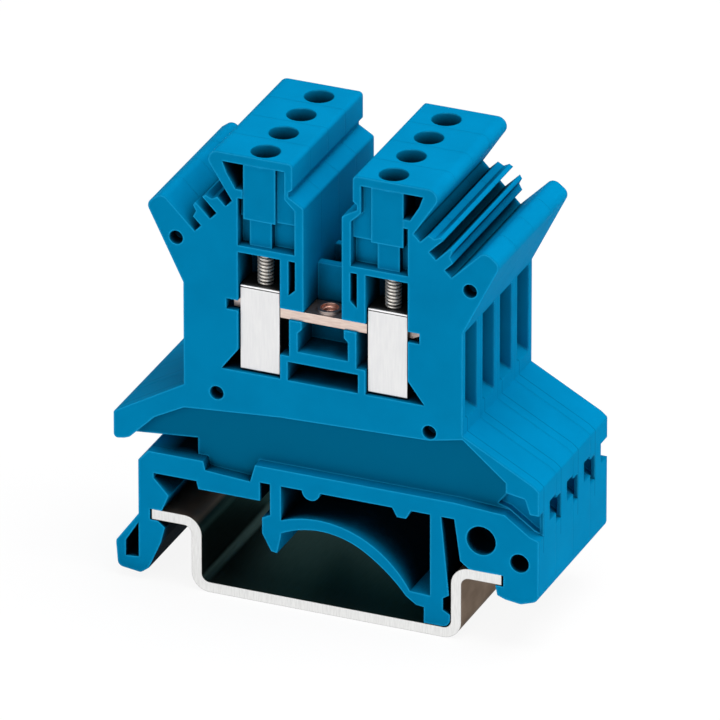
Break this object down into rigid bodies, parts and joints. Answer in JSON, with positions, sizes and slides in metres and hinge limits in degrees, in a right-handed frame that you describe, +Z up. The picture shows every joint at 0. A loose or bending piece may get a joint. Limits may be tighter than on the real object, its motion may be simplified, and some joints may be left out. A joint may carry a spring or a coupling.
{
  "type": "feed-through terminal block",
  "caption": "Blue screw-clamp feed-through terminal block: open-sided modules side by side on a piece of top-hat rail, with clamp sleeves, current bars and screws.",
  "frame": {"origin": "Middle of the rail's flat underside, half way along the rail", "axes": "+Z up, away from the rail; X across the rail, +X towards the stiff right foot; +Y along the rail, away from the open side of the modules"},
  "size_m": [0.0425, 0.0179, 0.0456],
  "materials": {
    "housing_plastic": "satin moulded polyamide, blue",
    "bar_metal": "tinned copper, cream-pink, bare copper in the collar's thread",
    "rail_steel": "zinc-plated strip steel",
    "sleeve_steel": "bright zinc-plated steel, nearly white",
    "screw_steel": "zinc-plated steel"
  },
  "bodies": {
    "block": {"mounting_rail": "rail_steel", "housing_1": "housing_plastic", "housing_2": "housing_plastic", "housing_3": "housing_plastic", "housing_4": "housing_plastic", "current_bar_1": "bar_metal", "current_bar_2": "bar_metal", "current_bar_3": "bar_metal", "current_bar_4": "bar_metal"},
    "screw_left_1": {"clamp_screw_left_1": "screw_steel"},
    "sleeve_left_1": {"clamp_sleeve_left_1": "sleeve_steel"},
    "screw_right_1": {"clamp_screw_right_1": "screw_steel"},
    "sleeve_right_1": {"clamp_sleeve_right_1": "sleeve_steel"},
    "screw_left_2": {"clamp_screw_left_2": "screw_steel"},
    "sleeve_left_2": {"clamp_sleeve_left_2": "sleeve_steel"},
    "screw_right_2": {"clamp_screw_right_2": "screw_steel"},
    "sleeve_right_2": {"clamp_sleeve_right_2": "sleeve_steel"},
    "screw_left_3": {"clamp_screw_left_3": "screw_steel"},
    "sleeve_left_3": {"clamp_sleeve_left_3": "sleeve_steel"},
    "screw_right_3": {"clamp_screw_right_3": "screw_steel"},
    "sleeve_right_3": {"clamp_sleeve_right_3": "sleeve_steel"},
    "screw_left_4": {"clamp_screw_left_4": "screw_steel"},
    "sleeve_left_4": {"clamp_sleeve_left_4": "sleeve_steel"},
    "screw_right_4": {"clamp_screw_right_4": "screw_steel"},
    "sleeve_right_4": {"clamp_sleeve_right_4": "sleeve_steel"}
  },
  "joints": [
    {"name": "turn_screw_left_1", "type": "hinge", "parent": "block", "child": "screw_left_1", "pos_m": [-0.00665, -0.0067, 0.03045], "axis": [0, 0, -1], "range_deg": [0, 3090]},
    {"name": "lift_sleeve_left_1", "type": "slide", "parent": "block", "child": "sleeve_left_1", "axis": [0, 0, 1], "range_m": [0, 0.003]},
    {"name": "turn_screw_right_1", "type": "hinge", "parent": "block", "child": "screw_right_1", "pos_m": [0.00605, -0.0067, 0.03045], "axis": [0, 0, -1], "range_deg": [0, 3090]},
    {"name": "lift_sleeve_right_1", "type": "slide", "parent": "block", "child": "sleeve_right_1", "axis": [0, 0, 1], "range_m": [0, 0.003]},
    {"name": "turn_screw_left_2", "type": "hinge", "parent": "block", "child": "screw_left_2", "pos_m": [-0.00665, -0.0025, 0.03045], "axis": [0, 0, -1], "range_deg": [0, 3090]},
    {"name": "lift_sleeve_left_2", "type": "slide", "parent": "block", "child": "sleeve_left_2", "axis": [0, 0, 1], "range_m": [0, 0.003]},
    {"name": "turn_screw_right_2", "type": "hinge", "parent": "block", "child": "screw_right_2", "pos_m": [0.00605, -0.0025, 0.03045], "axis": [0, 0, -1], "range_deg": [0, 3090]},
    {"name": "lift_sleeve_right_2", "type": "slide", "parent": "block", "child": "sleeve_right_2", "axis": [0, 0, 1], "range_m": [0, 0.003]},
    {"name": "turn_screw_left_3", "type": "hinge", "parent": "block", "child": "screw_left_3", "pos_m": [-0.00665, 0.0017, 0.03045], "axis": [0, 0, -1], "range_deg": [0, 3090]},
    {"name": "lift_sleeve_left_3", "type": "slide", "parent": "block", "child": "sleeve_left_3", "axis": [0, 0, 1], "range_m": [0, 0.003]},
    {"name": "turn_screw_right_3", "type": "hinge", "parent": "block", "child": "screw_right_3", "pos_m": [0.00605, 0.0017, 0.03045], "axis": [0, 0, -1], "range_deg": [0, 3090]},
    {"name": "lift_sleeve_right_3", "type": "slide", "parent": "block", "child": "sleeve_right_3", "axis": [0, 0, 1], "range_m": [0, 0.003]},
    {"name": "turn_screw_left_4", "type": "hinge", "parent": "block", "child": "screw_left_4", "pos_m": [-0.00665, 0.0059, 0.03045], "axis": [0, 0, -1], "range_deg": [0, 3090]},
    {"name": "lift_sleeve_left_4", "type": "slide", "parent": "block", "child": "sleeve_left_4", "axis": [0, 0, 1], "range_m": [0, 0.003]},
    {"name": "turn_screw_right_4", "type": "hinge", "parent": "block", "child": "screw_right_4", "pos_m": [0.00605, 0.0059, 0.03045], "axis": [0, 0, -1], "range_deg": [0, 3090]},
    {"name": "lift_sleeve_right_4", "type": "slide", "parent": "block", "child": "sleeve_right_4", "axis": [0, 0, 1], "range_m": [0, 0.003]}
  ],
  "couplings": [
    {"joint": "turn_screw_left_1", "follows": "lift_sleeve_left_1", "rad_per_m": 17952},
    {"joint": "turn_screw_right_1", "follows": "lift_sleeve_right_1", "rad_per_m": 17952},
    {"joint": "turn_screw_left_2", "follows": "lift_sleeve_left_2", "rad_per_m": 17952},
    {"joint": "turn_screw_right_2", "follows": "lift_sleeve_right_2", "rad_per_m": 17952},
    {"joint": "turn_screw_left_3", "follows": "lift_sleeve_left_3", "rad_per_m": 17952},
    {"joint": "turn_screw_right_3", "follows": "lift_sleeve_right_3", "rad_per_m": 17952},
    {"joint": "turn_screw_left_4", "follows": "lift_sleeve_left_4", "rad_per_m": 17952},
    {"joint": "turn_screw_right_4", "follows": "lift_sleeve_right_4", "rad_per_m": 17952}
  ]
}
